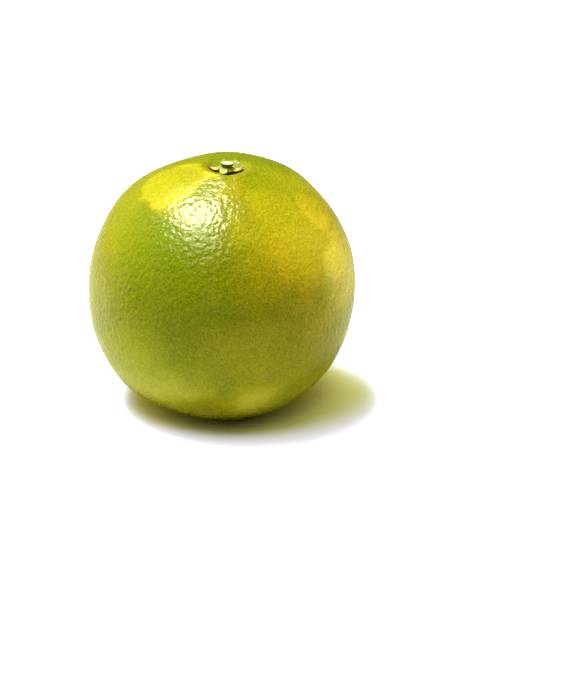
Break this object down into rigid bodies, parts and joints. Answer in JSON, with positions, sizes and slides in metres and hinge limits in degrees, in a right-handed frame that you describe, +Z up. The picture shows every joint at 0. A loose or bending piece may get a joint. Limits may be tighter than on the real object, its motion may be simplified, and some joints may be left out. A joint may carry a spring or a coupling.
{
  "type": "pomelo",
  "caption": "Whole round citrus fruit with a smooth thick rind, a lobed calyx in a shallow pit and a cut stalk stub on top, resting on the small flat spot at its base.",
  "frame": {"origin": "middle of the object's bounding box, on the plane that it rests on; it lies within the fruit's flat resting spot", "axes": "+Z up from the resting plane towards the stalk, -Y the side that the picture shows, +X to that viewer's right"},
  "size_m": [0.1602, 0.1606, 0.1582],
  "materials": {
    "rind": "satin",
    "calyx": "matte",
    "stalk": "matte"
  },
  "bodies": {
    "root": {"fruit": "rind", "calyx": "calyx", "stalk_stub": "stalk"}
  },
  "joints": []
}
